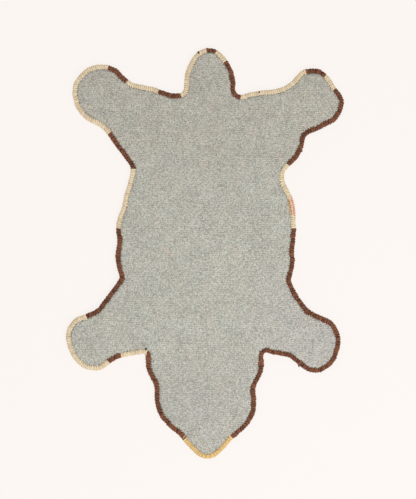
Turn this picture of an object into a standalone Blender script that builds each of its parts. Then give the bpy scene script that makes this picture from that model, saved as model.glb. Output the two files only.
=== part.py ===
"""A small tufted wool rug for a child's room, cut to the outline of an animal's skin.

It lies on its pile with the woven backing up. Yarn in brown, cream and ochre lengths is whipped
round the rim as a thick rounded edge. X runs across the rug, Y from the head to the tail and Z up,
and the origin is on the floor under the middle of the outline.
"""

import math
from collections import namedtuple

import bmesh
import bpy
from mathutils import Vector

MM = 0.001

# The whipped edge: a rounded roll of yarn along the rim.
EDGE_WIDTH = 11.0 * MM
EDGE_FOOT = 4.2 * MM
EDGE_CROWN = 13.2 * MM
EDGE_SIDES = 8
SHARP_ANGLE = math.radians(60)
EDGE_MIDDLE = (EDGE_FOOT + EDGE_CROWN) / 2

# The layers inside it, from the floor up. Pieces that touch are drawn this gap apart.
GAP = 0.3 * MM
PILE_THICKNESS = 10.0 * MM
CLOTH_THICKNESS = 1.5 * MM

# Each layer's section at the rim, from its lower face up, by distance in from the outline and height.
Ring = namedtuple("Ring", "place inset height")
PILE_RINGS = [
    Ring("foot on the floor", 2.0 * MM, 0),
    Ring("splayed rim", 1.2 * MM, 1.8 * MM),
    Ring("tips under the edge", 2.6 * MM, EDGE_FOOT - GAP),
    Ring("roots under the edge", 8.0 * MM, EDGE_FOOT - GAP),
    Ring("inner side of the edge", EDGE_WIDTH + GAP, 6.8 * MM),
    Ring("canvas", EDGE_WIDTH + GAP, PILE_THICKNESS),
]
CLOTH_RINGS = [
    Ring("lower face", EDGE_WIDTH - 0.4 * MM, 0),
    Ring("upper face", EDGE_WIDTH - 1.1 * MM, CLOTH_THICKNESS),
]

# How finely the outline's arcs are cut into straight steps.
CHORD_ERROR = 0.35 * MM
LONGEST_STEP = 20.0 * MM
SHORTEST_STEP = 3.0 * MM

# The outline from above, anticlockwise from the tip of the tail, in millimetres. Each row is one
# round stretch by its centre; a negative radius bends inward, and straight runs join the arcs.
Arc = namedtuple("Arc", "place x y radius")
OUTLINE = [
    Arc("tail tip", 8, 411, 38),
    Arc("tail left side", 44, 374, 89),
    Arc("tail left corner", -60, 363, -15),
    Arc("rump left dip", -143, 413, -42),
    Arc("hind paw left, upper", -228, 353, 60),
    Arc("hind paw left, lower", -221, 348, 68),
    Arc("thigh left", -280.5, 208, -83.5),
    Arc("groin left", -188, 180, -26.5),
    Arc("flank left, upper", -138, 58, 56),
    Arc("flank left, hollow", -276, 27, -84),
    Arc("flank left, lower", -120, -9, 76),
    Arc("waist left", -198, -52, -12),
    Arc("fore leg left, front", -255, -96, -31),
    Arc("fore paw left, upper", -257, -183, 47.5),
    Arc("fore paw left, lower", -244, -207, 49.5),
    Arc("fore leg left, back", -150, -331, -106),
    Arc("shoulder left", -137, -228, -7),
    Arc("neck left", -57, -242, 71),
    Arc("neck left hollow", -136, -300, -26),
    Arc("cheek left", -49, -328, 58),
    Arc("nose", 5, -413, 37),
    Arc("cheek right", 54, -333, 58),
    Arc("neck right hollow", 136, -298, -26),
    Arc("neck right", 64, -241, 65),
    Arc("shoulder right", 135, -226, -7),
    Arc("fore leg right, back", 171, -260, -34),
    Arc("fore paw right, lower", 242, -215, 46.5),
    Arc("fore paw right, upper", 236, -194, 60.5),
    Arc("fore leg right, front", 265, -68, -66),
    Arc("waist right", 208, -59, -20),
    Arc("flank right, lower", 141, -20, 55),
    Arc("flank right, upper", 121, 90, 76.5),
    Arc("groin right", 197, 169, -24),
    Arc("thigh right", 161, 244, 55),
    Arc("hind leg right, front", 230, 251, -9),
    Arc("hind paw right, lower", 257, 326, 46.5),
    Arc("hind paw right, upper", 235, 356, 46),
    Arc("rump right dip", 154, 404, -45),
    Arc("tail right corner", 77, 357, -10),
    Arc("tail right side", -36, 363, 103),
]

# The lengths of yarn in the edge, in the same order and in millimetres along the outline. The first
# starts a little past the outline's own start, and the last one runs on until it meets the first.
FIRST_YARN_START = 12 * MM
Yarn = namedtuple("Yarn", "colour place length")
YARNS = [
    Yarn("brown", "tail_tip", 24),
    Yarn("cream", "tail_left", 124),
    Yarn("brown", "rump_left", 49),
    Yarn("cream", "rump_left", 70),
    Yarn("brown", "hind_paw_left", 53),
    Yarn("cream", "hind_paw_left", 240),
    Yarn("brown", "thigh_left", 91),
    Yarn("cream", "flank_left", 135),
    Yarn("brown", "flank_left", 222),
    Yarn("cream", "fore_paw_left", 214),
    Yarn("brown", "fore_leg_left", 28),
    Yarn("cream", "shoulder_left", 54),
    Yarn("brown", "cheek_left", 212),
    Yarn("ochre", "nose", 142),
    Yarn("brown", "head_and_flank_right", 725),
    Yarn("cream", "flank_right", 145),
    Yarn("brown", "hind_leg_right", 231),
    Yarn("cream", "hind_paw_right", 37),
    Yarn("brown", "hind_paw_right", 49),
    Yarn("cream", "rump_right", 156),
    Yarn("brown", "tail_right", 85),
    Yarn("cream", "tail_right", None),
]

# Colours as the eye sees them, red, green and blue from 0 to 255.
COLOURS = {
    "brown": (115, 68, 48),
    "cream": (218, 200, 168),
    "ochre": (222, 186, 128),
    "backing": (181, 179, 169),
    "pile": (222, 208, 180),
}
WOOL_ROUGHNESS = 0.95

Run = namedtuple("Run", "start heading curve length")


def unit(angle):
    return Vector((math.cos(angle), math.sin(angle)))


def to_right(angle):
    return Vector((math.sin(angle), -math.cos(angle)))


def along(run, distance):
    """The point and the heading this far along an arc or a straight run."""
    heading = run.heading + run.curve * distance
    if run.curve == 0:
        return run.start + unit(run.heading) * distance, heading
    return run.start + (to_right(heading) - to_right(run.heading)) / run.curve, heading


def heading_between(arc, following):
    """The heading of the straight run that leaves one arc and meets the next without a kink."""
    across = Vector((following.x - arc.x, following.y - arc.y))
    return math.atan2(across.y, across.x) + math.asin((arc.radius - following.radius) / across.length)


def outline_runs(arcs):
    """The whole outline as arcs and the straight runs between them, in metres."""
    exits = [heading_between(arc, arcs[(i + 1) % len(arcs)]) for i, arc in enumerate(arcs)]
    runs = []
    for i, arc in enumerate(arcs):
        radius = arc.radius * MM
        turn = math.remainder(exits[i] - exits[i - 1], math.tau)
        start = Vector((arc.x, arc.y)) * MM + to_right(exits[i - 1]) * radius
        bend = Run(start, exits[i - 1], 1 / radius, turn * radius)
        following = arcs[(i + 1) % len(arcs)]
        leave, _ = along(bend, bend.length)
        meet = Vector((following.x, following.y)) * MM + to_right(exits[i]) * following.radius * MM
        runs += [bend, Run(leave, exits[i], 0, (meet - leave).length)]
    return runs


def place_at(runs, distance):
    """The point on the outline and the unit vector into the rug, this far along the outline."""
    distance %= sum(run.length for run in runs)
    for run in runs:
        if distance <= run.length:
            break
        distance -= run.length
    point, heading = along(run, min(distance, run.length))
    return point, -to_right(heading)


def steps_in(run):
    step = LONGEST_STEP
    if run.curve:
        step = min(step, math.sqrt(8 * CHORD_ERROR / abs(run.curve)))
    return math.ceil(run.length / step)


def yarn_joints(perimeter):
    """Where along the outline each length of yarn starts, and where the last one ends."""
    joints = [FIRST_YARN_START]
    for yarn in YARNS[:-1]:
        joints.append(joints[-1] + yarn.length * MM)
    return joints + [FIRST_YARN_START + perimeter]


def outline_steps(runs, joints):
    """Distances along the outline that cut it into straight steps, with each yarn joint among them."""
    steps = []
    done = 0
    for run in runs:
        count = steps_in(run)
        steps += [done + run.length * i / count for i in range(count)]
        done += run.length
    spread = joints[:-1]
    for step in steps:
        if all(abs(step - other) > SHORTEST_STEP for other in spread):
            spread.append(step)
    return sorted(spread)


def clear_scene():
    for obj in list(bpy.data.objects):
        bpy.data.objects.remove(obj, do_unlink=True)


def linear(channel):
    share = channel / 255
    return share / 12.92 if share <= 0.04045 else ((share + 0.055) / 1.055) ** 2.4


def wool(name):
    """A dull woollen finish in one of the rug's colours."""
    material = bpy.data.materials.new(name)
    material.use_nodes = True
    shader = material.node_tree.nodes["Principled BSDF"]
    shader.inputs["Base Color"].default_value = [linear(c) for c in COLOURS[name]] + [1]
    shader.inputs["Roughness"].default_value = WOOL_ROUGHNESS
    material.diffuse_color = shader.inputs["Base Color"].default_value
    return material


def add_solid(name, rings, height, material, parent):
    """A closed solid through rings of points, each ring anticlockwise about the way the rings follow."""
    mesh = bmesh.new()
    loops = [[mesh.verts.new(point) for point in ring] for ring in rings]
    mesh.faces.new(list(reversed(loops[0])))
    mesh.faces.new(loops[-1])
    for lower, upper in zip(loops, loops[1:]):
        for i, corner in enumerate(lower):
            j = (i + 1) % len(lower)
            mesh.faces.new((corner, lower[j], upper[j], upper[i]))
    data = bpy.data.meshes.new(name)
    mesh.to_mesh(data)
    mesh.free()
    data.materials.append(material)
    obj = bpy.data.objects.new(name, data)
    obj.location.z = height
    obj.parent = parent
    bpy.context.collection.objects.link(obj)
    return obj


def layer_rings(places, section):
    """The section's rings, each carried round the whole outline."""
    return [
        [(*(point + inward * ring.inset), ring.height) for point, inward in places]
        for ring in section
    ]


def add_pile(places, material, parent):
    """Tufted pile on its canvas: flat below, splayed at the rim under the edge, upright inside it."""
    add_solid("tufted_layer", layer_rings(places, PILE_RINGS), 0, material, parent)


def add_backing(places, material, parent):
    """The woven backing, one sheet whose rim is drawn up against the whipped yarn."""
    foot = PILE_THICKNESS + GAP
    add_solid("backing_cloth", layer_rings(places, CLOTH_RINGS), foot, material, parent)


def edge_section(place):
    """The rounded section of the whipped edge at one place on the outline."""
    point, inward = place
    half_height = (EDGE_CROWN - EDGE_FOOT) / 2
    middle = point + inward * EDGE_WIDTH / 2
    ring = []
    for i in range(EDGE_SIDES):
        angle = math.tau * i / EDGE_SIDES
        across = middle + inward * math.cos(angle) * EDGE_WIDTH / 2
        ring.append((*across, math.sin(angle) * half_height))
    return ring


def add_yarn(yarn, runs, steps, start, end, material, parent):
    """One length of whipped yarn along the rim, from one colour change to the next."""
    perimeter = sum(run.length for run in runs)
    inner = [s + lap for lap in (0, perimeter) for s in steps if start < s + lap < end]
    route = [start + GAP / 2, *inner, end - GAP / 2]
    rings = [edge_section(place_at(runs, distance)) for distance in route]
    name = f"edge_{yarn.colour}_{yarn.place}"
    obj = add_solid(name, rings, EDGE_MIDDLE, material, parent)
    obj.data.shade_smooth()
    obj.data.set_sharp_from_angle(angle=SHARP_ANGLE)


def build_rug():
    clear_scene()
    rug = bpy.data.objects.new("rug", None)
    bpy.context.collection.objects.link(rug)
    materials = {name: wool(name) for name in COLOURS}
    runs = outline_runs(OUTLINE)
    joints = yarn_joints(sum(run.length for run in runs))
    steps = outline_steps(runs, joints)
    places = [place_at(runs, distance) for distance in steps]
    add_pile(places, materials["pile"], rug)
    add_backing(places, materials["backing"], rug)
    for yarn, start, end in zip(YARNS, joints, joints[1:]):
        add_yarn(yarn, runs, steps, start, end, materials[yarn.colour], rug)


build_rug()
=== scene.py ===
"""The finish of a small tufted wool rug, cut to the outline of an animal's skin.

It lies on its pile, so from above it shows its woven backing and the yarn whipped over its rim.
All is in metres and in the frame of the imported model: X across the rug, Y from the head to the
tail, Z up.
"""

import math
from collections import namedtuple

import bmesh
import bpy
import numpy as np
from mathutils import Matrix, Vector, geometry, noise


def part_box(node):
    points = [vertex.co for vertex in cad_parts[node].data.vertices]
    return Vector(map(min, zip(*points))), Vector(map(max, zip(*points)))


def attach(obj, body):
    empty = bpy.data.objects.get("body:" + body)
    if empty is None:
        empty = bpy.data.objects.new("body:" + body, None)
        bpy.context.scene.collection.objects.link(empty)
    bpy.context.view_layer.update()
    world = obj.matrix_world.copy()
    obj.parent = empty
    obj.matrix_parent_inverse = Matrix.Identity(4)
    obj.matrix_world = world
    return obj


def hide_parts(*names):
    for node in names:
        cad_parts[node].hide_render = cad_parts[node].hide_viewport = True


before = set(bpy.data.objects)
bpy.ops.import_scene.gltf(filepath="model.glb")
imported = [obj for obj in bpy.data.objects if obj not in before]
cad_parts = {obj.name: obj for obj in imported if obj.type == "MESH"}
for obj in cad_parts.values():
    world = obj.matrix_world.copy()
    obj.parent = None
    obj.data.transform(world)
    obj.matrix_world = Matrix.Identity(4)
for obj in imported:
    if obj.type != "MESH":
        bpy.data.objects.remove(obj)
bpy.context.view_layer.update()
MM = 0.001

# --------------------------------------
# The rim. The rug is cut to its outline first, and all that follows is worked from that line:
# the pile stands inside it, the backing is drawn down to it, and yarn is whipped over it.
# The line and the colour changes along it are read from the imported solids.
# --------------------------------------

FOOT_INSET = 2.0 * MM
WOOL_PROUD = 1.1 * MM
RIM_STEP = 1.0 * MM
RIM_ROUNDING = 3.0 * MM
EDGE_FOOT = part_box("edge_ochre_nose")[0].z
EDGE_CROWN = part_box("edge_ochre_nose")[1].z
EDGE_MIDDLE = (EDGE_FOOT + EDGE_CROWN) / 2
SAME_POINT = 0.001 * MM
SAME_LEVEL = 0.01 * MM

# Each colour of yarn: how wide its roll is, how far apart its stitches lie, how far the roll
# wanders to the sides, how much its stitches differ in size, how much light the painted shade
# leaves where they go into the backing, and the wool in the light and between the fibres, in
# linear colour; the darker one is also the painted shade between its strands and inside the roll.
Yarn = namedtuple("Yarn", "roll pitch wander spread tucked light shade")
YARNS = {
    "brown": Yarn(
        12.6 * MM, 5.4 * MM, 2.3 * MM, 0.20, 0.45, (0.340, 0.128, 0.062), (0.034, 0.009, 0.005)
    ),
    "cream": Yarn(
        12.6 * MM, 4.6 * MM, 1.6 * MM, 0.14, 0.92, (0.975, 0.832, 0.602), (0.640, 0.490, 0.310)
    ),
    "ochre": Yarn(
        12.3 * MM, 4.8 * MM, 1.5 * MM, 0.10, 0.85, (0.935, 0.675, 0.315), (0.620, 0.400, 0.150)
    ),
}
WANDER_LENGTH = 17.0 * MM
WIDTH_ROUNDING = 2.0 * MM
WANDER_ROUNDING = 4.0 * MM
PITCH_SPREAD = 0.16
HAND_SEED = 12

# Where the stitches drew the rim in by hand, or left it out: the place, how far in, and how far the
# pull reaches along the rim, in millimetres. They go round from the tail, anticlockwise.
Pull = namedtuple("Pull", "x y inward reach")
PULLS = [
    Pull(-86, 352, 1.5, 26),
    Pull(-113, 363, -2.0, 16),
    Pull(-155, 372, 1.6, 20),
    Pull(-288, 365, -2.4, 32),
    Pull(-225, 270, 1.4, 38),
    Pull(-182, 101, 2.3, 24),
    Pull(-247, -127, 2.2, 42),
    Pull(-297, -215, -1.8, 40),
    Pull(-236, -258, -1.6, 32),
    Pull(-193, -232, 2.8, 27),
    Pull(-158, -224, 1.0, 30),
    Pull(-133, -220, 2.2, 13),
    Pull(-129, -250, -1.5, 18),
    Pull(-115, -281, 1.7, 24),
    Pull(-107, -330, -1.8, 34),
    Pull(-55, -402, 2.3, 30),
    Pull(56, -411, 1.4, 24),
    Pull(89, -383, -1.7, 30),
    Pull(132, -219, 2.4, 18),
    Pull(246, -133, 2.7, 40),
    Pull(195, 2, 1.3, 34),
    Pull(198, 54, -2.0, 24),
    Pull(177, 152, 1.9, 40),
    Pull(221, 254, 2.0, 30),
    Pull(296, 304, 1.5, 20),
    Pull(285, 362, 1.8, 20),
    Pull(232, 402, -2.6, 60),
    Pull(118, 355, -1.6, 36),
    Pull(69, 352, 2.0, 26),
]
Stretch = namedtuple("Stretch", "node colour start length")


def foot_corners(node):
    """The corners of a node's flat foot, anticlockwise as seen from above."""
    mesh = bmesh.new()
    mesh.from_mesh(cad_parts[node].data)
    bmesh.ops.remove_doubles(mesh, verts=mesh.verts, dist=SAME_POINT)
    ground = min(vert.co.z for vert in mesh.verts) + SAME_LEVEL
    foot = {face for face in mesh.faces if all(vert.co.z < ground for vert in face.verts)}
    following = {
        loop.vert: loop.link_loop_next.vert
        for face in foot
        for loop in face.loops
        if loop.link_loop_radial_next.face not in foot
    }
    corners = [max(following, key=lambda vert: vert.co.y)]
    while following[corners[-1]] is not corners[0]:
        corners.append(following[corners[-1]])
    line = np.array([corner.co.xy for corner in corners])[::-1]
    mesh.free()
    return line


def inward_normals(line):
    """The unit directions into a closed anticlockwise line at its points."""
    along = np.roll(line, -1, axis=0) - np.roll(line, 1, axis=0)
    inward = np.stack([-along[:, 1], along[:, 0]], axis=1)
    return inward / np.linalg.norm(inward, axis=1, keepdims=True)


def marks_on(line):
    """How far along a closed line each of its points lies, and the line's whole length."""
    sides = np.linalg.norm(np.roll(line, -1, axis=0) - line, axis=1)
    return np.concatenate([[0.0], np.cumsum(sides)[:-1]]), sides.sum()


def resampled(line, step):
    marks, length = marks_on(line)
    count = round(length / step)
    places = np.arange(count) * length / count
    return np.stack([np.interp(places, marks, line[:, k], period=length) for k in (0, 1)], axis=1)


def rounded(values, reach):
    """Values along the closed rim, each softened over its neighbours within this reach."""
    widest = int(3 * reach / RIM_STEP)
    shifts = range(-widest, widest + 1)
    weights = [math.exp(-0.5 * (shift * RIM_STEP / reach) ** 2) for shift in shifts]
    total = sum(w * np.roll(values, shift, axis=0) for w, shift in zip(weights, shifts))
    return total / sum(weights)


def pulled(line):
    """The line with its small pulls, each fading out along the rim to both sides."""
    inward = np.zeros(len(line))
    for pull in PULLS:
        away = np.linalg.norm(line - np.array([pull.x, pull.y]) * MM, axis=1) / (pull.reach * MM)
        inward += pull.inward * MM * np.cos(np.minimum(away, 1) * math.pi / 2) ** 2
    return line + inward_normals(line) * inward[:, None]


foot_line = foot_corners("tufted_layer")
foot_line -= inward_normals(foot_line) * (FOOT_INSET + WOOL_PROUD)
RIM = pulled(rounded(resampled(foot_line, RIM_STEP), RIM_ROUNDING))
RIM_INWARD = inward_normals(RIM)
RIM_MARKS, RIM_LENGTH = marks_on(RIM)


def on_rim(values, distance):
    """A value that is known all round the rim, read at this distance along it."""
    return np.interp(distance, RIM_MARKS, values, period=RIM_LENGTH)


def rim_points(distance, inset):
    """Points at these distances along the rim and this far in from it, on the ground plan."""
    reach = np.reshape(inset, (-1, 1))
    places = np.stack([on_rim(RIM[:, k], distance) for k in (0, 1)], axis=-1)
    inward = np.stack([on_rim(RIM_INWARD[:, k], distance) for k in (0, 1)], axis=-1)
    return places + inward * reach


def rim_distance(point):
    """How far along the rim the place nearest to a point is."""
    return RIM_MARKS[np.linalg.norm(RIM - np.array(point), axis=1).argmin()]


def stretch_of(node):
    """A length of the whipped edge: its colour, where on the rim it starts and how long it is."""
    corners = [vert.co.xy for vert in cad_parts[node].data.vertices]
    marks = np.unique([rim_distance(corner) for corner in corners])
    gaps = np.diff(marks, append=marks[0] + RIM_LENGTH)
    widest = gaps.argmax()
    start = marks[(widest + 1) % len(marks)]
    return Stretch(node, node.split("_")[1], start, RIM_LENGTH - gaps[widest])


STRETCHES = [stretch_of(node) for node in sorted(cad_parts) if node.startswith("edge_")]


def roll_of_yarn():
    """All round the rim, how wide the roll of yarn is and how far in its middle line lies."""
    widths, sways = np.zeros(len(RIM)), np.zeros(len(RIM))
    for stretch in STRETCHES:
        within = (RIM_MARKS - stretch.start) % RIM_LENGTH <= stretch.length + RIM_STEP
        widths[within] = YARNS[stretch.colour].roll
        sways[within] = YARNS[stretch.colour].wander
    waves = np.array([noise.noise(Vector((x, y, 0)) / WANDER_LENGTH) for x, y in RIM])
    widths = rounded(widths, WIDTH_ROUNDING)
    return widths, widths / 2 + rounded(sways, WANDER_ROUNDING) * waves


ROLL, ROLL_MIDDLE = roll_of_yarn()


def stitch_marks(stretch, hand):
    """Where along the rim a stretch's stitches lie: even along its roll, but for the hand."""
    marks = stretch.start + np.linspace(0, stretch.length, 1 + round(stretch.length / RIM_STEP))
    middle = rim_points(marks, on_rim(ROLL_MIDDLE, marks))
    travelled = np.append(0, np.cumsum(np.linalg.norm(np.diff(middle, axis=0), axis=1)))
    count = max(2, round(travelled[-1] / YARNS[stretch.colour].pitch))
    uneven = hand.uniform(-PITCH_SPREAD, PITCH_SPREAD, count)
    places = (np.arange(count) + 0.5 + uneven) / count
    return np.interp(places * travelled[-1], travelled, marks)


hand = np.random.default_rng(HAND_SEED)
STITCHES = {stretch.node: stitch_marks(stretch, hand) for stretch in STRETCHES}

# --------------------------------------
# The tufted pile. Wool yarn is shot through a canvas from the back in rows and cut to one
# length. It lies face down, so it is plain, and only the tufts at its rim take the edge's colours.
# --------------------------------------

# The wool: how fine its fibres are to each side, the tones that single tufts and stitches have,
# and how much a tuft's tone shades or lights the pile.
PILE_LIGHT = (0.88, 0.74, 0.52)
PILE_SHADE = (0.56, 0.44, 0.28)
PILE_FIBRES = (2600, 2600, 500)
WOOL_TONES = (0.5, 1.0)
PILE_TONES = (-0.1, 0.25)
PILE_RELIEF = 0.5 * MM
SPECULAR = 0.2
SHEEN_ROUGHNESS = 0.6

# The tufts of the field, and then those of the rim. Tilt and sway are in radians.
TUFT_SIDES = 5
TUFT_RUFFLE = 1.2 * MM
TUFT_ROOT = 4.5 * MM
TUFT_LENGTH = 3.8 * MM
TUFT_WIDTH = 9.0 * MM
TUFT_SPACING = 6.0 * MM
TUFTS_PER_AREA = 400000
TUFT_TILT = 0.15
TUFT_SPREAD = 0.1
TUFT_SEED = 4
FIELD_RUFFLES = 400.0
FIELD_INSET = 12.0 * MM
BED_STEP = 6.0 * MM
RIM_TUFT_ROOT = 5.3 * MM
RIM_TUFT_LENGTH = 4.4 * MM
RIM_TUFT_WIDTH = 3.0 * MM
RIM_TUFT_PITCH = 2.5 * MM
RIM_TUFT_SWAY = 0.24
RIM_TUFT_SPREAD = 0.15
RIM_TUFT_SEED = 8
RIM_RUFFLES = 500.0
RIM_LINE_STEP = 2.0 * MM

# The slab of packed wool and canvas that the tips stand out from: inset from the rim and height.
Ring = namedtuple("Ring", "inset height")
BED_RINGS = [
    Ring(7.4 * MM, 2.6 * MM),
    Ring(4.4 * MM, 3.8 * MM),
    Ring(8.6 * MM, 4.0 * MM),
    Ring(12.4 * MM, 6.4 * MM),
    Ring(13.6 * MM, 9.4 * MM),
]

# Rows of tufts at the rim: how far in each row is rooted, and how far it leans out, in degrees.
Row = namedtuple("Row", "inset lean")
RIM_ROWS = [Row(2.8 * MM, 24), Row(4.8 * MM, 15), Row(7.2 * MM, 8), Row(9.8 * MM, 3)]

# A cut tuft: its radius as a share of its width, and how far down its length, at each level.
Level = namedtuple("Level", "radius share")
TUFT_LEVELS = [Level(0.36, 0.0), Level(0.50, 0.45), Level(0.42, 0.88)]


def plug(tree, socket, value):
    """Joins another node's output to a socket, or gives the socket a fixed value."""
    if isinstance(value, bpy.types.NodeSocket):
        tree.links.new(value, socket)
    else:
        socket.default_value = value


def add_node(tree, kind, sockets=None, **settings):
    """A node with its settings. Its sockets go by name, or by number where a name repeats."""
    node = tree.nodes.new(kind)
    for name, value in settings.items():
        setattr(node, name, value)
    for key, value in (sockets or {}).items():
        named = [socket for socket in node.inputs if socket.name == key and socket.enabled]
        plug(tree, named[0] if named else node.inputs[key], value)
    return node


def output(node):
    return next(socket for socket in node.outputs if socket.enabled)


def result(tree, kind, sockets=None, **settings):
    return output(add_node(tree, kind, sockets, **settings))


def calculate(tree, operation, first, second=0.0):
    return result(tree, "ShaderNodeMath", {0: first, 1: second}, operation=operation)


def plus(tree, first, second):
    return calculate(tree, "ADD", first, second)


def times(tree, first, second):
    return calculate(tree, "MULTIPLY", first, second)


def move(tree, operation, first, second=(0, 0, 0)):
    sockets = {0: first, "Scale" if operation == "SCALE" else 1: second}
    return result(tree, "ShaderNodeVectorMath", sockets, operation=operation)


def vector(tree, x=0.0, y=0.0, z=0.0):
    return result(tree, "ShaderNodeCombineXYZ", {0: x, 1: y, 2: z})


def fit(tree, value, low, high, new_low=0.0, new_high=1.0):
    """A value that runs from low to high made to run from new_low to new_high, and stop there."""
    sockets = {"Value": value, "From Min": low, "From Max": high}
    sockets |= {"To Min": new_low, "To Max": new_high}
    return result(tree, "ShaderNodeMapRange", sockets)


def noise_in(tree, place, scale, detail=2.0):
    sockets = {"Vector": place, "Scale": scale, "Detail": detail}
    return add_node(tree, "ShaderNodeTexNoise", sockets).outputs


def centred(tree, waves, amount):
    """A noise's colour as a shift to any side, of at most about this amount."""
    return move(tree, "SCALE", move(tree, "SUBTRACT", waves, (0.5, 0.5, 0.5)), amount)


def blend(tree, share, first, second, how="MIX"):
    """The first colour where the share is 0 and the second, or their product, where it is 1."""
    colours = [(*c, 1) if isinstance(c, tuple) else c for c in (first, second)]
    sockets = {0: share, 6: colours[0], 7: colours[1]}
    mixed = add_node(tree, "ShaderNodeMix", sockets, data_type="RGBA", blend_type=how)
    return mixed.outputs[2]


def carried(tree, name):
    """A value that the mesh carries under this name."""
    return add_node(tree, "ShaderNodeAttribute", attribute_name=name).outputs["Fac"]


def new_material(name, roughness, sheen):
    material = bpy.data.materials.new(name)
    material.use_nodes = True
    shader = material.node_tree.nodes["Principled BSDF"]
    shader.inputs["Roughness"].default_value = roughness
    shader.inputs["Specular IOR Level"].default_value = SPECULAR
    shader.inputs["Sheen Weight"].default_value = sheen
    shader.inputs["Sheen Roughness"].default_value = SHEEN_ROUGHNESS
    return material, material.node_tree, shader


def finish_shader(tree, shader, colour, height, depth):
    """Gives the shader its colour, and the relief that a height from 0 to 1 makes."""
    bump = add_node(tree, "ShaderNodeBump", {"Height": height, "Distance": depth})
    tree.links.new(colour, shader.inputs["Base Color"])
    tree.links.new(bump.outputs["Normal"], shader.inputs["Normal"])


def cut_wool(name, light, shade):
    """Cut pile: fine fibres on end, in tufts that differ a little in tone."""
    material, tree, shader = new_material(name, roughness=0.95, sheen=0.1)
    place = add_node(tree, "ShaderNodeTexCoord").outputs["Object"]
    fibre = noise_in(tree, move(tree, "MULTIPLY", place, PILE_FIBRES), 1.0)["Fac"]
    share = plus(tree, fibre, fit(tree, carried(tree, "tone"), 0, 1, *PILE_TONES))
    finish_shader(tree, shader, blend(tree, share, shade, light), fibre, PILE_RELIEF)
    return material


def new_tree(name, **sockets):
    """A geometry tree with these inputs; an underscore in a name stands for a space."""
    tree = bpy.data.node_groups.new(name, "GeometryNodeTree")
    for label, kind in {"Geometry": "Geometry", **sockets, "Material": "Material"}.items():
        label = label.replace("_", " ")
        tree.interface.new_socket(label, in_out="INPUT", socket_type=f"NodeSocket{kind}")
    tree.interface.new_socket("Geometry", in_out="OUTPUT", socket_type="NodeSocketGeometry")
    return tree, add_node(tree, "NodeGroupInput").outputs


def random_between(tree, low, high, seed, data_type="FLOAT"):
    sockets = {"Min": low, "Max": high, "Seed": seed}
    return result(tree, "FunctionNodeRandomValue", sockets, data_type=data_type)


def turned(tree, angles):
    return result(tree, "FunctionNodeEulerToRotation", {"Euler": angles})


def facing_in(tree, tilt):
    """Upright along a curve with Y into the rug, and then tilted by these angles."""
    tangent = add_node(tree, "GeometryNodeInputTangent").outputs[0]
    sockets = {"Primary Axis": (0, 0, 1), "Secondary Axis": tangent}
    facing = result(tree, "FunctionNodeAxesToRotation", sockets)
    sockets = {"Rotation": facing, "Rotate By": turned(tree, tilt)}
    return result(tree, "FunctionNodeRotateRotation", sockets, rotation_space="LOCAL")


def random_angles(tree, inputs, tilt, turn=0.0):
    """A copy's own angles: tilted to any side by up to this much, and turned by up to that."""
    back = times(tree, tilt, -1.0)
    ends = [vector(tree, back, back, 0.0), vector(tree, tilt, tilt, turn)]
    return random_between(tree, *ends, inputs["Seed"], "FLOAT_VECTOR")


def random_size(tree, inputs):
    """A copy's own size to each side: 1, give or take the spread."""
    low = calculate(tree, "SUBTRACT", 1.0, inputs["Size spread"])
    high = plus(tree, 1.0, inputs["Size spread"])
    ends = [vector(tree, end, end, end) for end in (low, high)]
    return random_between(tree, *ends, inputs["Seed"], "FLOAT_VECTOR")


def place_copies(tree, inputs, points, shape, turn, size, chosen=True):
    """Copies of a shape on the points, each with its own size and its own tone of wool."""
    copied = add_node(tree, "GeometryNodeObjectInfo", {"Object": shape, "As Instance": True})
    sockets = {
        "Points": points,
        "Selection": chosen,
        "Instance": copied.outputs["Geometry"],
        "Rotation": turn,
        "Scale": size,
    }
    copies = result(tree, "GeometryNodeInstanceOnPoints", sockets)
    tone = random_between(tree, *WOOL_TONES, inputs["Seed"])
    sockets = {"Geometry": copies, "Name": "tone", "Value": tone}
    toned = add_node(
        tree, "GeometryNodeStoreNamedAttribute", sockets, data_type="FLOAT", domain="INSTANCE"
    )
    return result(tree, "GeometryNodeRealizeInstances", {"Geometry": output(toned)})


def ruffle(tree, shape, amount, scale):
    """Moves a shape's points to any side by a soft noise, at most this far."""
    place = add_node(tree, "GeometryNodeInputPosition").outputs[0]
    waves = noise_in(tree, place, scale)["Color"]
    sockets = {"Geometry": shape, "Offset": centred(tree, waves, amount)}
    return result(tree, "GeometryNodeSetPosition", sockets)


def end_tree(tree, inputs, shape):
    smooth = result(tree, "GeometryNodeSetShadeSmooth", {"Geometry": shape})
    sockets = {"Geometry": smooth, "Material": inputs["Material"]}
    dressed = result(tree, "GeometryNodeSetMaterial", sockets)
    add_node(tree, "NodeGroupOutput", {"Geometry": dressed})
    return tree


def mesh_object(name, points, edges=(), faces=()):
    data = bpy.data.meshes.new(name)
    data.from_pydata([tuple(map(float, point)) for point in points], list(edges), list(faces))
    made = bpy.data.objects.new(name, data)
    bpy.context.scene.collection.objects.link(made)
    return made


def carry(piece, name, values):
    """Gives each point of a piece's mesh a value of its own, under this name."""
    piece.data.attributes.new(name, "FLOAT", "POINT").data.foreach_set("value", values)


def settle(piece):
    """Turns what a piece's modifiers make into its own plain mesh."""
    graph = bpy.context.evaluated_depsgraph_get()
    shown = piece.evaluated_get(graph)
    data = bpy.data.meshes.new_from_object(shown, preserve_all_data_layers=True, depsgraph=graph)
    data.name = piece.name
    piece.modifiers.clear()
    piece.data = data
    return piece


def grow(piece, tree, **values):
    """Runs a geometry tree on a piece and keeps the result as the piece's plain mesh."""
    modifier = piece.modifiers.new(tree.name, "NODES")
    modifier.node_group = tree
    wanted = {name.replace("_", " "): value for name, value in values.items()}
    for item in tree.interface.items_tree:
        if item.in_out == "INPUT" and item.name in wanted:
            modifier[item.identifier] = wanted[item.name]
    return settle(piece)


def closed_loop(first, count):
    return [(first + i, first + (i + 1) % count) for i in range(count)]


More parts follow.
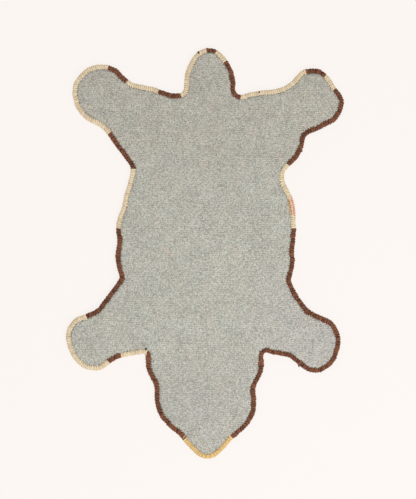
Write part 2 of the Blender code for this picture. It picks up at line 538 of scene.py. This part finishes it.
def slab(name, rings, step):
    """A closed solid between rings that run round the whole rug, from its foot to its top."""
    count = round(RIM_LENGTH / step)
    marks = np.arange(count) * RIM_LENGTH / count
    points = []
    for ring in rings:
        points += [(x, y, ring.height) for x, y in rim_points(marks, ring.inset)]
    faces = [list(reversed(range(count))), [len(points) - count + i for i in range(count)]]
    for level in range(len(rings) - 1):
        for a, b in closed_loop(level * count, count):
            faces.append((a, b, b + count, a + count))
    return mesh_object(name, points, faces=faces)


def tuft(name, length, width, sides):
    """One cut tuft, closed, hanging from its root at the origin to its rounded tip."""
    points = []
    for level in TUFT_LEVELS:
        for i in range(sides):
            turn = math.tau * i / sides
            radius = level.radius * width
            points.append((math.cos(turn) * radius, math.sin(turn) * radius, -level.share * length))
    points.append((0, 0, -length))
    faces = [list(range(sides))]
    for lower in range(0, len(points) - 1 - sides, sides):
        for a, b in closed_loop(lower, sides):
            faces.append((b, a, a + sides, b + sides))
    for a, b in closed_loop(len(points) - 1 - sides, sides):
        faces.append((b, a, len(points) - 1))
    return mesh_object(name, points, faces=faces)


def field_tree():
    """Tufts over a surface, a set distance apart and each turned at random."""
    tree, inputs = new_tree(
        "field of tufts", Tuft="Object", Spacing="Float", Density="Float", Tilt="Float",
        Size_spread="Float", Seed="Int",
    )
    sockets = {
        "Mesh": inputs["Geometry"],
        "Distance Min": inputs["Spacing"],
        "Density Max": inputs["Density"],
        "Seed": inputs["Seed"],
    }
    scattered = add_node(
        tree, "GeometryNodeDistributePointsOnFaces", sockets, distribute_method="POISSON"
    )
    turn = turned(tree, random_angles(tree, inputs, inputs["Tilt"], math.tau))
    size = random_size(tree, inputs)
    tufts = place_copies(tree, inputs, output(scattered), inputs["Tuft"], turn, size)
    return end_tree(tree, inputs, ruffle(tree, tufts, TUFT_RUFFLE, FIELD_RUFFLES))


def row_tree():
    """Tufts along a line, each leaning out by the angle that the line carries."""
    tree, inputs = new_tree(
        "row of tufts", Tuft="Object", Pitch="Float", Sway="Float", Size_spread="Float",
        Seed="Int",
    )
    line = result(tree, "GeometryNodeMeshToCurve", {"Mesh": inputs["Geometry"]})
    sockets = {"Curve": line, "Length": inputs["Pitch"]}
    points = result(tree, "GeometryNodeResampleCurve", sockets, mode="LENGTH")
    sway = random_angles(tree, inputs, inputs["Sway"])
    lean = result(tree, "GeometryNodeInputNamedAttribute", {"Name": "lean"})
    turn = facing_in(tree, move(tree, "ADD", sway, vector(tree, lean)))
    size = random_size(tree, inputs)
    tufts = place_copies(tree, inputs, points, inputs["Tuft"], turn, size)
    return end_tree(tree, inputs, ruffle(tree, tufts, TUFT_RUFFLE, RIM_RUFFLES))


def row_lines(name, stretches):
    """The lines that the rim's tufts of one colour stand along, each with its lean."""
    points, edges, leans = [], [], []
    for stretch in stretches:
        count = max(2, round(stretch.length / RIM_LINE_STEP))
        marks = stretch.start + np.linspace(0.5, count - 0.5, count) / count * stretch.length
        for row in RIM_ROWS:
            first = len(points)
            points += [(x, y, RIM_TUFT_ROOT) for x, y in rim_points(marks, row.inset)]
            edges += [(first + i, first + i + 1) for i in range(count - 1)]
            leans += [-math.radians(row.lean)] * count
    lines = mesh_object(name, points, edges)
    carry(lines, "lean", leans)
    return lines


def add_piece(piece, slot, *nodes):
    """Hands a finished piece to the frame, in place of the solids that it stands for."""
    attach(piece, "root")
    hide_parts(*nodes)


pile_wool = cut_wool("pile wool", PILE_LIGHT, PILE_SHADE)
bed = slab("pile_bed", BED_RINGS, BED_STEP)
bed.data.materials.append(pile_wool)
add_piece(bed, "wool_pile", "tufted_layer")

field_marks = np.arange(0, RIM_LENGTH, BED_STEP)
field_points = [(x, y, TUFT_ROOT) for x, y in rim_points(field_marks, FIELD_INSET)]
field = mesh_object("pile", field_points, faces=[range(len(field_points))])
field_tuft = tuft("field_tuft", TUFT_LENGTH, TUFT_WIDTH, TUFT_SIDES)
grow(
    field, field_tree(), Tuft=field_tuft, Spacing=TUFT_SPACING, Density=TUFTS_PER_AREA,
    Tilt=TUFT_TILT, Size_spread=TUFT_SPREAD, Seed=TUFT_SEED, Material=pile_wool,
)
add_piece(field, "wool_pile", "tufted_layer")

rim_tuft = tuft("rim_tuft", RIM_TUFT_LENGTH, RIM_TUFT_WIDTH, TUFT_SIDES)
rows = row_tree()
for colour, yarn in YARNS.items():
    wool = cut_wool(f"{colour} pile wool", yarn.light, yarn.shade)
    lines = row_lines(f"rim_pile_{colour}", [s for s in STRETCHES if s.colour == colour])
    grow(
        lines, rows, Tuft=rim_tuft, Pitch=RIM_TUFT_PITCH, Sway=RIM_TUFT_SWAY,
        Size_spread=RIM_TUFT_SPREAD, Seed=RIM_TUFT_SEED, Material=wool,
    )
    add_piece(lines, f"{colour}_yarn", "tufted_layer")
for pattern in (field_tuft, rim_tuft):
    bpy.data.objects.remove(pattern)

# --------------------------------------
# The backing. A coarse grey-beige cotton canvas in plain weave is glued over the back of the
# tufts, cut to the same outline, and drawn down at its rim by the stitches that go through it.
# --------------------------------------

CLOTH_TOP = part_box("backing_cloth")[1].z
CLOTH_THICKNESS = 1.3 * MM
CLOTH_GRID = 6.0 * MM
GRID_CLEARANCE = 0.6
SAME_PLACE = 1e-7
ONLY_INSIDE = 1
CLOTH_SWELL = 0.5 * MM
SWELL_LENGTH = 70.0 * MM
SWELL_FADE = 20.0 * MM

# The cloth beside the yarn: how far in from the roll, its height at a stitch and between two,
# and how strong the painted shadow is there where the stitch goes through.
Fall = namedtuple("Fall", "beyond at_stitch between hole")
CLOTH_FALLS = [
    Fall(-3.6 * MM, 9.0 * MM, 9.2 * MM, 0.8),
    Fall(-1.6 * MM, 9.6 * MM, 10.8 * MM, 1.0),
    Fall(0.2 * MM, 10.6 * MM, 11.6 * MM, 1.0),
    Fall(1.7 * MM, 11.7 * MM, 11.7 * MM, 0.0),
    Fall(6.5 * MM, CLOTH_TOP, CLOTH_TOP, 0.0),
]

# The canvas, in millimetres: its thread spacing across and along, how much more of the cross
# threads shows than of the others, how fine the streaks in the threads are to each side, how it is
# drawn out of true, and its tones in linear colour. Some crossings are redder.
THREAD_PITCH = (1.9, 2.1)
CROSS_THREADS = 0.32
THREAD_LIFT = 0.45
THREAD_FLOOR = 0.3
THREAD_SIDES = (-0.2, 0.2)
ALONG_STREAKS = (0.66, 0.24)
ACROSS_STREAKS = (0.15, 0.95)
ALONG_SHIFT = 40.0
ACROSS_SHIFT = 3.0
FIBRES = (5.0, 1.1)
FIBRE_SHIFT = 70.0
FIBRE_CONTRAST = 0.45
FIBRE_RELIEF = 0.3
CLOTH_RELIEF = 0.4 * MM
DRAW_SCALE = 0.06
DRAW = 5.0
CLOTH_DARK = (0.262, 0.269, 0.238)
CLOTH_LIGHT = (0.625, 0.641, 0.565)
RED_TINT = (1.14, 0.90, 0.80)
RED_SHARE = 0.5
GROOVE_SHADE = 0.62
THREAD_LIGHT = 1.22
THREAD_CONTRAST = 2.5
ROW_CONTRAST = 0.11
CROSSING_CONTRAST = 0.36
# Painted shadow where stitches go through the cloth: colour, sharpness, range of strength.
HOLE_SHADOW_TONE = (0.10, 0.09, 0.075)
HOLE_SHADOW_SHARPNESS = 2.2
HOLE_SHADOW_STRENGTHS = (0.2, 1.25)
CLOUD_CONTRAST = 0.22
CLOUD_SCALE = 0.04
PATCH_SCALE = 0.025
PATCH_RANGE = (0.45, 0.75)
PATCH_TINTS = ((1.025, 0.985, 0.975), (0.985, 1.0, 1.03))

# Where the canvas has reddened or been marked, in millimetres: place, reach, how strong, and the
# tint there. The broad ones take in the hind end and the paws, and the last three are small spots.
ROSY = (0.90, 0.76, 0.72)
COOL = (1.00, 0.89, 1.06)
GREYER = (0.74, 0.66, 0.76)
Stain = namedtuple("Stain", "x y reach strength tint")
STAINS = [
    Stain(0, 330, 280, 0.22, ROSY),
    Stain(-250, 370, 220, 0.20, ROSY),
    Stain(250, 360, 220, 0.22, ROSY),
    Stain(-262, -185, 180, 0.10, ROSY),
    Stain(270, -190, 230, 0.26, COOL),
    Stain(0, -350, 180, 0.20, GREYER),
    Stain(-77, -4, 9, 0.40, (1.2, 0.70, 0.74)),
    Stain(9, 199, 7, 0.40, (0.8, 0.62, 0.50)),
    Stain(-33, 296, 6, 0.35, (0.8, 0.62, 0.50)),
]


def parts_of(tree, value):
    return add_node(tree, "ShaderNodeSeparateXYZ", {0: value}).outputs


def swell(point):
    """How far the cloth stands above or below its level here."""
    return CLOTH_SWELL * noise.noise(Vector((point[0], point[1], 0)) / SWELL_LENGTH)


def inside(points, line):
    """Which points lie within a closed line."""
    x, y = points[:, :1], points[:, 1:]
    (x1, y1), (x2, y2) = line.T, np.roll(line, -1, axis=0).T
    crossed = (y1 > y) != (y2 > y)
    at = x1 + (y - y1) * (x2 - x1) / np.where(y2 == y1, 1, y2 - y1)
    return (crossed & (x < at)).sum(axis=1) % 2 == 1


def grid_within(line, spacing):
    """Points in staggered rows inside a closed line and clear of it, and how far in each is."""
    low, high = line.min(axis=0), line.max(axis=0)
    rows = np.arange(low[1], high[1], spacing * math.sqrt(3) / 2)
    grid = np.array([
        (x, y)
        for i, y in enumerate(rows)
        for x in np.arange(low[0] + (i % 2) * spacing / 2, high[0], spacing)
    ])
    grid = grid[inside(grid, line)]
    away = np.array([np.linalg.norm(line - point, axis=1).min() for point in grid])
    clear = away > spacing * GRID_CLEARANCE
    return grid[clear], away[clear]


def backing_cloth():
    """The sheet, with rings that follow each stitch beside the yarn and an even net within them,
    and the line that it is cut to."""
    at_stitches = np.sort(np.concatenate(list(STITCHES.values())) % RIM_LENGTH)
    following = np.append(at_stitches[1:], at_stitches[0] + RIM_LENGTH)
    marks = np.stack([at_stitches, (at_stitches + following) / 2], axis=1).ravel()
    roll_side = on_rim(ROLL_MIDDLE + ROLL / 2, marks)
    # How strong the painted shadow is where each stitch goes through.
    shadow_strengths = np.random.default_rng(HAND_SEED).uniform(*HOLE_SHADOW_STRENGTHS, len(at_stitches))
    plan, heights, hole_shadows = [], [], []
    for fall in CLOTH_FALLS:
        plan += list(rim_points(marks, roll_side + fall.beyond))
        heights += [fall.at_stitch, fall.between] * len(at_stitches)
        hole_shadows += list(np.outer(shadow_strengths, [fall.hole, 0.0]).ravel())
    cut_line = np.array(plan[:len(marks)])
    inner, away = grid_within(np.array(plan[-len(marks):]), CLOTH_GRID)
    plan += list(inner)
    heights += [CLOTH_TOP + swell(p) * min(1, gap / SWELL_FADE) for p, gap in zip(inner, away)]
    hole_shadows += [0.0] * len(inner)
    edges = [e for i in range(len(CLOTH_FALLS)) for e in closed_loop(i * len(marks), len(marks))]
    outline = list(range(len(marks)))
    plan = [Vector(p) for p in plan]
    made = geometry.delaunay_2d_cdt(plan, edges, [outline], ONLY_INSIDE, SAME_PLACE)
    points = [(p.x, p.y, heights[ids[0]]) for p, ids in zip(made[0], made[3])]
    cloth = mesh_object("backing", points, faces=made[2])
    carry(cloth, "hole", [hole_shadows[ids[0]] for ids in made[3]])
    return cloth, cut_line


def thread_tone(tree, place, fineness, shift):
    """The tone of one set of threads: streaks that run along them."""
    moved = move(tree, "MULTIPLY", place, (*fineness, 1.0))
    return noise_in(tree, move(tree, "ADD", moved, (shift, shift, shift)), 1.0, detail=3.0)["Fac"]


def either(tree, share, along, across):
    """What belongs to the threads along the rug, or to those across it where they lie on top."""
    sockets = {0: share, 2: along, 3: across}
    return result(tree, "ShaderNodeMix", sockets, data_type="FLOAT")


def threads(tree, counts):
    """How far the threads on top stand out, which set they are of, 0 along the rug and 1 across,
    and how the rows across differ in tone."""
    waves = [calculate(tree, "SINE", times(tree, n, math.pi)) for n in counts]
    heights = []
    for own, other, lift in ((0, 1, THREAD_LIFT), (1, 0, -THREAD_LIFT)):
        round_top = calculate(tree, "SQRT", calculate(tree, "ABSOLUTE", waves[own]))
        over = times(tree, calculate(tree, "SIGN", waves[own]), waves[other])
        heights.append(plus(tree, round_top, times(tree, over, lift)))
    top = fit(tree, calculate(tree, "MAXIMUM", *heights), THREAD_FLOOR, 1.0 + THREAD_LIFT)
    across = calculate(tree, "SUBTRACT", heights[1], heights[0])
    across = fit(tree, plus(tree, across, CROSS_THREADS), *THREAD_SIDES)
    return top, across, times(tree, waves[1], ROW_CONTRAST)


def weave(tree, place):
    """The height of the threads, the tone of the one on top, and how red it is, all 0 to 1."""
    axes = parts_of(tree, place)
    counts = [calculate(tree, "DIVIDE", axes[k], THREAD_PITCH[k]) for k in (0, 1)]
    relief, top, rows = threads(tree, counts)
    along = thread_tone(tree, place, ALONG_STREAKS, ALONG_SHIFT)
    across = thread_tone(tree, place, ACROSS_STREAKS, ACROSS_SHIFT)
    tone = calculate(tree, "SUBTRACT", either(tree, top, along, across), 0.5)
    tone = times(tree, tone, THREAD_CONTRAST)
    crossing = move(tree, "FLOOR", vector(tree, *counts))
    chance = add_node(tree, "ShaderNodeTexWhiteNoise", {"Vector": crossing}).outputs
    speck = fit(tree, chance["Value"], 0.0, 1.0, 0.5 - CROSSING_CONTRAST, 0.5 + CROSSING_CONTRAST)
    fibres = [thread_tone(tree, place, each, FIBRE_SHIFT) for each in (FIBRES, FIBRES[::-1])]
    fibre = calculate(tree, "SUBTRACT", either(tree, top, *fibres), 0.5)
    for part in (speck, rows, times(tree, fibre, FIBRE_CONTRAST)):
        tone = plus(tree, tone, part)
    red = parts_of(tree, chance["Color"])["Y"]
    red = times(tree, calculate(tree, "POWER", red, 2.0), RED_SHARE)
    relief = plus(tree, relief, times(tree, fibre, FIBRE_RELIEF))
    return relief, tone, red


def stained(tree, place, colour):
    """The colour with the few faint stains over it."""
    for stain in STAINS:
        away = move(tree, "DISTANCE", place, (stain.x, stain.y, CLOTH_TOP / MM))
        share = fit(tree, away, 0.0, stain.reach, stain.strength, 0.0)
        colour = blend(tree, share, colour, stain.tint, "MULTIPLY")
    return colour


def canvas(name):
    """Plain weave in marled yarn: threads over and under each other, light and dark in turn."""
    material, tree, shader = new_material(name, roughness=0.95, sheen=0.05)
    place = add_node(tree, "ShaderNodeTexCoord").outputs["Object"]
    place = move(tree, "SCALE", place, 1 / MM)
    draw = centred(tree, noise_in(tree, place, DRAW_SCALE)["Color"], DRAW)
    relief, tone, red = weave(tree, move(tree, "ADD", place, draw))
    cloud = noise_in(tree, place, CLOUD_SCALE, detail=3.0)["Fac"]
    share = plus(tree, tone, fit(tree, cloud, 0, 1, -CLOUD_CONTRAST, CLOUD_CONTRAST))
    colour = blend(tree, red, blend(tree, share, CLOTH_DARK, CLOTH_LIGHT), RED_TINT, "MULTIPLY")
    patch = noise_in(tree, place, PATCH_SCALE, detail=3.0)["Color"]
    for tint, side in zip(PATCH_TINTS, parts_of(tree, patch)):
        colour = blend(tree, fit(tree, side, *PATCH_RANGE), colour, tint, "MULTIPLY")
    lit = fit(tree, relief, 0.0, 1.0, GROOVE_SHADE, THREAD_LIGHT)
    colour = stained(tree, place, move(tree, "SCALE", colour, lit))
    # Painted shadow where the stitches go through the cloth.
    hole = calculate(tree, "POWER", carried(tree, "hole"), HOLE_SHADOW_SHARPNESS)
    colour = blend(tree, hole, colour, HOLE_SHADOW_TONE)
    finish_shader(tree, shader, colour, relief, CLOTH_RELIEF)
    return material


backing, cloth_line = backing_cloth()
backing.data.shade_smooth()
backing.data.materials.append(canvas("backing canvas"))
thickness = backing.modifiers.new("thickness", "SOLIDIFY")
thickness.thickness = CLOTH_THICKNESS
thickness.offset = -1
settle(backing)
add_piece(backing, "backing_cloth", "backing_cloth")

# --------------------------------------
# The whipped edge. Two-ply rug yarn is carried over the rim stitch by stitch, out of the backing,
# across the crest and back under it, and a new length is started at each change of colour.
# --------------------------------------

# A stitch runs from the inner side of the roll, 0 degrees, over its crest and under the rim. Its
# yarn is pressed wider than the pitch, and the larger a stitch is, the further in it is held.
YARN_THICKNESS = 3.6 * MM
YARN_CROWDING = 1.16
PLY_DEPTH = 0.34
STITCH_SIDES = 8
STITCH_STEPS = 9
STITCH_FROM = -8
STITCH_TO = 235
STITCH_SLANT = 1.8 * MM
STITCH_HOLD = 3.8 * MM
SLANT_SPREAD = 0.16
CORE_SIDES = 10
CORE_DEPTH = 1.7 * MM
YARN_RUFFLE = 1.0 * MM
YARN_RUFFLES = 450.0

# Spun wool: its fibres along and round the yarn, how much its own tone, its strands and its fibres
# lighten or darken it (the strands as painted light and shade, the lowest tone as painted shade in
# the core), how far they stand out, and how much of a stitch goes into the backing and is painted
# in shade there.
YARN_FIBRES = (9.0, 26.0, 1.0)
TONE_SHIFT = 90.0
YARN_TONES = (-0.5, 0.25)
PLY_SHADING = 0.16
FIBRE_HEIGHT = 0.6
PLY_HEIGHT = 0.4
YARN_RELIEF = 0.35 * MM
TUCK_SHADE_SHARE = 0.24


def close_rings(mesh, wrap, rings):
    """Faces from ring to ring and over both ends, laid out by steps along and sides round."""
    for i in range(len(rings) - 1):
        for j in range(STITCH_SIDES):
            k = (j + 1) % STITCH_SIDES
            face = mesh.faces.new((rings[i][j], rings[i][k], rings[i + 1][k], rings[i + 1][j]))
            places = ((i, j), (i, j + 1), (i + 1, j + 1), (i + 1, j))
            for loop, (u, v) in zip(face.loops, places):
                loop[wrap].uv = (u / STITCH_STEPS, v / STITCH_SIDES)
    mesh.faces.new(list(reversed(rings[0])))
    mesh.faces.new(rings[-1])


def twisted(name, route, outward, width, thickness, tip=1.0):
    """Two-ply yarn along a route, closed at its ends, its strands turning by a side at each step.
    Its tips can be narrower than the rest, as cut ends are."""
    mesh = bmesh.new()
    wrap = mesh.loops.layers.uv.new("UVMap")
    rings = []
    for i, (middle, out) in enumerate(zip(route, outward)):
        ahead = route[min(i + 1, len(route) - 1)] - route[max(i - 1, 0)]
        side = ahead.cross(out).normalized()
        ring = []
        for j in range(STITCH_SIDES):
            turn = math.tau * (i + j) / STITCH_SIDES
            ply = 1 - PLY_DEPTH * (1 - math.cos(2 * math.tau * j / STITCH_SIDES)) / 2
            ply *= tip if i in (0, len(route) - 1) else 1
            across = side * math.cos(turn) * width / 2 * ply
            up = out * math.sin(turn) * thickness / 2 * ply
            ring.append(mesh.verts.new(middle + across + up))
        rings.append(ring)
    close_rings(mesh, wrap, rings)
    bmesh.ops.recalc_face_normals(mesh, faces=mesh.faces)
    made = mesh_object(name, [])
    mesh.to_mesh(made.data)
    mesh.free()
    return made


def stitch(name, yarn):
    """One stitch over the rim; Y points into the rug, and the roll's middle is the origin."""
    across = (yarn.roll - YARN_THICKNESS) / 2
    up = (EDGE_CROWN - EDGE_FOOT - YARN_THICKNESS) / 2
    route, outward = [], []
    for i in range(STITCH_STEPS + 1):
        share = i / STITCH_STEPS
        angle = math.radians(STITCH_FROM + (STITCH_TO - STITCH_FROM) * share)
        slant = STITCH_SLANT * (share - 0.5)
        route.append(Vector((slant, across * math.cos(angle), up * math.sin(angle))))
        outward.append(Vector((0, up * math.cos(angle), across * math.sin(angle))).normalized())
    return twisted(name, route, outward, yarn.pitch * YARN_CROWDING, YARN_THICKNESS)


def held_outside(tree, line, turn, size):
    """The line's points, each moved into the rug as its stitch is larger, so that the roll is less
    even on its inner side than round the rim."""
    larger = move(tree, "SUBTRACT", size, (1, 1, 1))
    inward = move(tree, "MULTIPLY", larger, (0, STITCH_HOLD, 0))
    sockets = {"Vector": inward, "Rotation": turn}
    offset = result(tree, "FunctionNodeRotateVector", sockets)
    return result(tree, "GeometryNodeSetPosition", {"Geometry": line, "Offset": offset})


def whipping_tree():
    """Stitches at the chosen points of a line, on a core that fills the roll from end to end."""
    tree, inputs = new_tree(
        "whipped edge", Stitch="Object", Core_width="Float", Core_height="Float",
        Slant_spread="Float", Size_spread="Float", Seed="Int",
    )
    line = result(tree, "GeometryNodeMeshToCurve", {"Mesh": inputs["Geometry"]})
    line = result(tree, "GeometryNodeSetCurveNormal", {"Curve": line}, mode="Z_UP")
    back = times(tree, inputs["Slant spread"], -1.0)
    slant = random_between(tree, back, inputs["Slant spread"], inputs["Seed"])
    chosen = result(tree, "GeometryNodeInputNamedAttribute", {"Name": "stitched"})
    turn = facing_in(tree, vector(tree, 0.0, 0.0, slant))
    size = random_size(tree, inputs)
    held = held_outside(tree, line, turn, size)
    stitches = place_copies(tree, inputs, held, inputs["Stitch"], turn, size, chosen)
    circle = add_node(
        tree, "GeometryNodeCurvePrimitiveCircle", {"Resolution": CORE_SIDES, "Radius": 1.0}
    )
    size = vector(tree, inputs["Core width"], inputs["Core height"], 1.0)
    sockets = {"Geometry": output(circle), "Scale": size}
    profile = result(tree, "GeometryNodeTransform", sockets)
    sockets = {"Curve": line, "Profile Curve": profile, "Fill Caps": True}
    core = result(tree, "GeometryNodeCurveToMesh", sockets)
    both = add_node(tree, "GeometryNodeJoinGeometry", {"Geometry": stitches})
    tree.links.new(core, both.inputs[0])
    return end_tree(tree, inputs, ruffle(tree, output(both), YARN_RUFFLE, YARN_RUFFLES))


def spun_wool(name, yarn):
    """Spun wool: fibres along the yarn, painted shade in the groove between its strands and painted
    light on them, uneven in tone. What carries no tone lies inside the roll and is painted in
    shade."""
    material, tree, shader = new_material(name, roughness=0.9, sheen=0.08)
    wrap = add_node(tree, "ShaderNodeUVMap", uv_map="UVMap").outputs[0]
    tone = carried(tree, "tone")
    shift = vector(tree, 0.0, 0.0, times(tree, tone, TONE_SHIFT))
    fibre_place = move(tree, "ADD", move(tree, "MULTIPLY", wrap, YARN_FIBRES), shift)
    fibre = noise_in(tree, fibre_place, 1.0, detail=3.0)["Fac"]
    along, around = parts_of(tree, wrap)[:2]
    ply = calculate(tree, "COSINE", times(tree, around, 2 * math.tau))
    # A stitch's own tone; the core carries none, which gives it painted shade.
    share = plus(tree, fibre, fit(tree, tone, 0.0, 1.0, *YARN_TONES))
    # Painted shade in the grooves between the strands and painted light on their crowns.
    share = plus(tree, share, times(tree, ply, PLY_SHADING))
    height = times(tree, fibre, FIBRE_HEIGHT)
    height = plus(tree, height, fit(tree, ply, -1.0, 1.0, 0.0, PLY_HEIGHT))
    # Painted shade at a stitch's inner end, where it goes into the backing.
    tucked = fit(tree, along, 0.0, TUCK_SHADE_SHARE, yarn.tucked, 1.0)
    colour = move(tree, "SCALE", blend(tree, share, yarn.shade, yarn.light), tucked)
    finish_shader(tree, shader, colour, height, YARN_RELIEF)
    return material


def roll_line(stretch):
    """The middle line of a stretch's roll: its two ends, and a point for each stitch between."""
    ends = stretch.start + np.array([0, stretch.length])
    marks = np.concatenate([ends[:1], STITCHES[stretch.node], ends[1:]])
    plan = rim_points(marks, on_rim(ROLL_MIDDLE, marks))
    edges = [(i, i + 1) for i in range(len(marks) - 1)]
    name = stretch.node.replace("edge", "whipping")
    line = mesh_object(name, [(x, y, EDGE_MIDDLE) for x, y in plan], edges)
    carry(line, "stitched", [0.0, *[1.0] * (len(marks) - 2), 0.0])
    return line


whipping = whipping_tree()
stitches = {colour: stitch(f"stitch_{colour}", yarn) for colour, yarn in YARNS.items()}
yarn_wool = {colour: spun_wool(f"{colour} yarn", yarn) for colour, yarn in YARNS.items()}
for number, stretch in enumerate(STRETCHES):
    yarn = YARNS[stretch.colour]
    roll = roll_line(stretch)
    grow(
        roll, whipping, Stitch=stitches[stretch.colour], Core_width=yarn.roll / 2 - CORE_DEPTH,
        Core_height=(EDGE_CROWN - EDGE_FOOT) / 2 - CORE_DEPTH, Slant_spread=SLANT_SPREAD,
        Size_spread=yarn.spread, Seed=number, Material=yarn_wool[stretch.colour],
    )
    add_piece(roll, f"{stretch.colour}_yarn", stretch.node)
for pattern in stitches.values():
    bpy.data.objects.remove(pattern)

# --------------------------------------
# Loose ends. Short bits of yarn show on the roll and beside it: ends that were darned in over
# another colour, tufts that work out from under the rim, and one pink yarn that was mended in.
# --------------------------------------

END_STEP = 1.4 * MM
FEWEST_STEPS = 4
END_TIP = 0.6
END_ARCH = 0.4
PINK_LIGHT = (0.950, 0.430, 0.330)
PINK_SHADE = (0.640, 0.220, 0.150)
PINK = Yarn(roll=0, pitch=0, wander=0, spread=0, tucked=1.0, light=PINK_LIGHT, shade=PINK_SHADE)

# Where each end starts and stops on the plan, how high its ends lie and how thick it is, in
# millimetres, and how light it is. They go round the rim from the tail, anticlockwise.
End = namedtuple("End", "colour x1 y1 x2 y2 height thick tone")
LOOSE_ENDS = [
    End("brown", -13, 436, -15.8, 441.2, 11.2, 4.4, 0.15),
    End("cream", -184, 43, -179, 38, 10.4, 3.2, 0.9),
    End("brown", -191, 3.5, -195.8, 4.3, 7, 4.4, 0.2),
    End("ochre", -196.6, -4, -195.6, -12, 7, 3.2, 0.3),
    End("ochre", -195, -16, -192.9, -25, 7, 3.2, 0.3),
    End("brown", -131.4, -210.6, -126.6, -208.6, 11, 3.6, 0.15),
    End("cream", -132, -217.5, -125, -211.6, 11.6, 3, 1.0),
    End("brown", -125, -224, -123.4, -214.6, 9.6, 6.6, 0.6),
    End("ochre", -49, -406, -43.8, -399.6, 10.8, 3.2, 0.6),
    End("cream", 56.5, -405, 51.5, -396, 10.8, 3.2, 0.9),
    End("brown", 204.5, -244.5, 206.1, -250, 7, 4, 0.4),
    End("brown", 250, -141, 252.2, -136.8, 7, 4.6, 0.4),
    End("pink", 196.4, 82, 193.6, 102, 11.4, 3.6, 0.9),
    End("pink", 193.8, 100, 189.2, 121.5, 11.4, 3.6, 0.9),
    End("pink", 190.8, 84, 187.4, 101, 12, 1.8, 0.7),
    End("pink", 187.4, 100, 183.6, 117, 12, 1.8, 0.1),
    End("ochre", 187.2, 82, 184.8, 101, 11.2, 2.6, 0.4),
    End("ochre", 185, 99, 181.2, 118, 11.2, 2.6, 0.4),
    End("brown", 118.2, 353.6, 119.4, 349.8, 11.8, 3.6, 0.0),
    End("brown", -153.6, 187.6, -150.8, 184.8, 11.8, 3.2, 0.2),
    End("brown", 207, 221.6, 213.6, 224, 7, 4.6, 0.6),
    End("brown", 62, 379.8, 65.4, 381.2, 7, 4, 0.4),
]


def loose_end(number, end):
    """One bit of yarn, from one place to the other and arching a little between them."""
    first = Vector((end.x1, end.y1, end.height)) * MM
    last = Vector((end.x2, end.y2, end.height)) * MM
    count = max(FEWEST_STEPS, round((last - first).length / END_STEP))
    shares = [i / count for i in range(count + 1)]
    thickness = end.thick * MM
    rise = Vector((0, 0, END_ARCH * thickness))
    route = [first.lerp(last, share) + rise * math.sin(math.pi * share) for share in shares]
    outward = [Vector((0, 0, 1))] * len(route)
    bit = twisted(f"end_{number}", route, outward, thickness, thickness, END_TIP)
    carry(bit, "tone", [end.tone] * len(bit.data.vertices))
    return bit


def joined(name, parts):
    """One plain mesh of several objects, which it takes the place of."""
    mesh = bmesh.new()
    for part in parts:
        mesh.from_mesh(part.data)
        bpy.data.objects.remove(part)
    made = mesh_object(name, [])
    mesh.to_mesh(made.data)
    mesh.free()
    made.data.shade_smooth()
    return made


def nodes_under(ends):
    """The lengths of the whipped edge that these ends lie on."""
    found = set()
    for end in ends:
        mark = rim_distance((end.x1 * MM, end.y1 * MM))
        found |= {s.node for s in STRETCHES if (mark - s.start) % RIM_LENGTH <= s.length}
    return sorted(found)


yarn_wool["pink"] = spun_wool("pink yarn", PINK)
for colour, wool in yarn_wool.items():
    ends = [end for end in LOOSE_ENDS if end.colour == colour]
    bits = joined(f"loose_ends_{colour}", [loose_end(i, end) for i, end in enumerate(ends)])
    bits.data.materials.append(wool)
    slot = "cream_yarn" if colour == "pink" else f"{colour}_yarn"
    add_piece(bits, slot, *nodes_under(ends))

# --------------------------------------
# The floor, the light and the view. The rug lies on a plain pale floor in soft even light that
# comes a little more from below on the right, and is seen from straight above.
# --------------------------------------

FLOOR_COLOUR = (0.968, 0.924, 0.889)
FLOOR_GLOW = 0.90
FLOOR_SIZE = 60.0
FLOOR_LEVEL = -0.1 * MM
SKY_SHARE = 0.74
LAMP_PLACE = (0.9, -1.2, 1.8)
LAMP_SIZE = 1.6
LAMP_POWER = 25.0
VIEW_HEIGHT = 1.093
VIEW_CENTRE = (0.0065, 0.0076)
VIEW_DISTANCE = 3.0


def floor():
    half = FLOOR_SIZE / 2
    corners = [(-half, -half), (half, -half), (half, half), (-half, half)]
    plane = mesh_object("floor", [(x, y, FLOOR_LEVEL) for x, y in corners], faces=[(0, 1, 2, 3)])
    material, tree, shader = new_material("floor", roughness=1.0, sheen=0.0)
    shader.inputs["Specular IOR Level"].default_value = 0.0
    shader.inputs["Base Color"].default_value = [c * (1 - FLOOR_GLOW) for c in FLOOR_COLOUR] + [1]
    shader.inputs["Emission Color"].default_value = (*FLOOR_COLOUR, 1)
    shader.inputs["Emission Strength"].default_value = FLOOR_GLOW
    plane.data.materials.append(material)


def soft_light():
    world = bpy.data.worlds.new("studio")
    world.use_nodes = True
    sky = world.node_tree.nodes["Background"]
    sky.inputs["Color"].default_value = (1, 1, 1, 1)
    sky.inputs["Strength"].default_value = SKY_SHARE
    bpy.context.scene.world = world
    lamp = bpy.data.lights.new("soft box", "AREA")
    lamp.size = LAMP_SIZE
    lamp.energy = LAMP_POWER
    box = bpy.data.objects.new("soft box", lamp)
    box.location = LAMP_PLACE
    box.rotation_euler = (-Vector(LAMP_PLACE)).to_track_quat("-Z", "Y").to_euler()
    bpy.context.scene.collection.objects.link(box)


def camera():
    lens = bpy.data.cameras.new("camera")
    lens.lens = lens.sensor_width * VIEW_DISTANCE / VIEW_HEIGHT
    eye = bpy.data.objects.new("camera", lens)
    eye.location = (*VIEW_CENTRE, VIEW_DISTANCE + EDGE_MIDDLE)
    bpy.context.scene.collection.objects.link(eye)
    bpy.context.scene.camera = eye


floor()
soft_light()
camera()
bpy.context.scene.view_settings.view_transform = "Standard"
